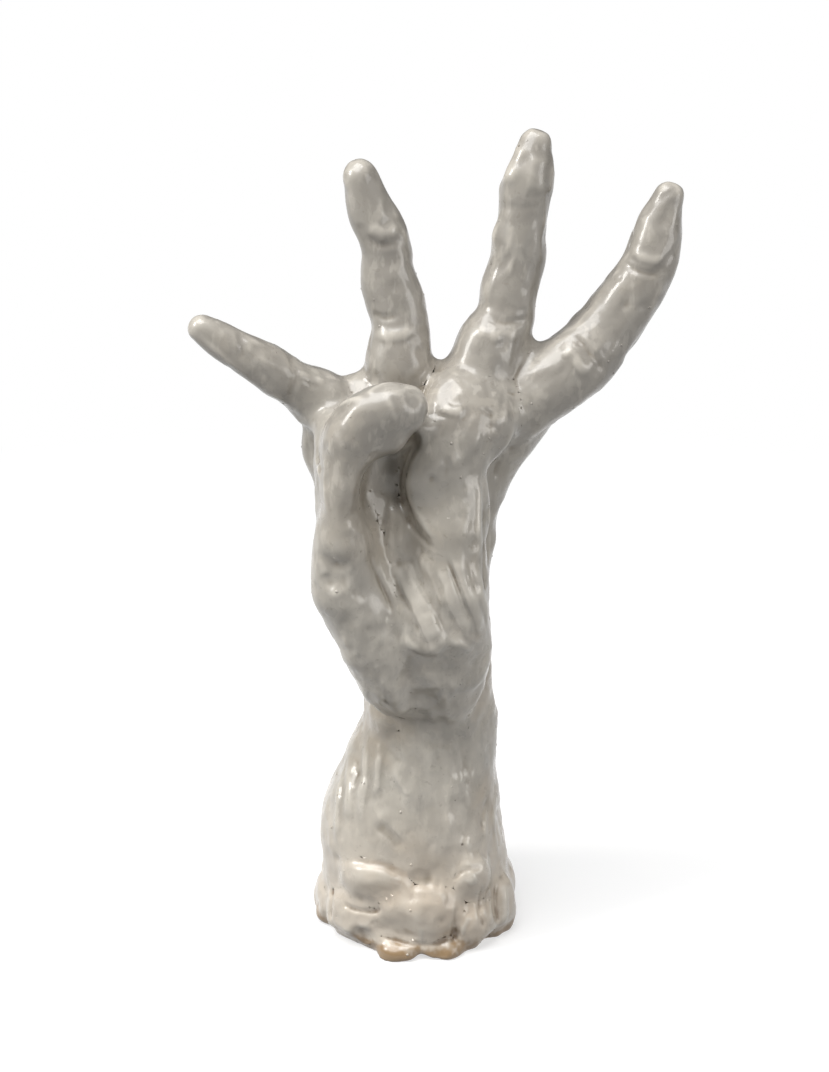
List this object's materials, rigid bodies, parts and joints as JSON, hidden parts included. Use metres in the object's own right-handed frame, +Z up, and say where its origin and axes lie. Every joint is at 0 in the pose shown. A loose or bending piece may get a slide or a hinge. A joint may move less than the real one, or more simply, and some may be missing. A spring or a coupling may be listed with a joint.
{
  "type": "hand sculpture",
  "caption": "Free-standing glazed ceramic hand on a hollow forearm, palm to the front, thumb folded over the palm and fingers spread, with torn clay pads round the foot.",
  "frame": {"origin": "middle of the bottom of the object's bounding box, in the plane that the foot stands on", "axes": "+Z up along the forearm, -Y the way the palm faces, +X towards the little finger's side"},
  "size_m": [0.1839, 0.09, 0.3222],
  "materials": {
    "white_glaze": "glossy off-white glaze with a faint grey and warm mottle",
    "thin_glaze": "glossy off-white glaze, thin and tan over bare edges of clay"
  },
  "bodies": {
    "root": {"forearm_tube": "white_glaze", "palm_core": "white_glaze", "back_slab": "white_glaze", "heel_pad": "white_glaze", "outer_palm_pad": "white_glaze", "thumb_mound": "white_glaze", "thumb": "white_glaze", "index_finger": "white_glaze", "middle_finger": "white_glaze", "ring_finger": "white_glaze", "little_finger": "white_glaze", "foot_flap_left": "thin_glaze", "foot_flap_right": "thin_glaze", "foot_knob_right": "thin_glaze", "foot_roll_left": "thin_glaze", "foot_roll_right": "thin_glaze", "foot_tongue": "thin_glaze", "foot_pad_front": "thin_glaze", "foot_pad_front_left": "thin_glaze", "foot_pad_front_right": "thin_glaze", "foot_pad_back": "thin_glaze", "foot_pad_back_left": "thin_glaze", "foot_pad_back_right": "thin_glaze"}
  },
  "joints": []
}
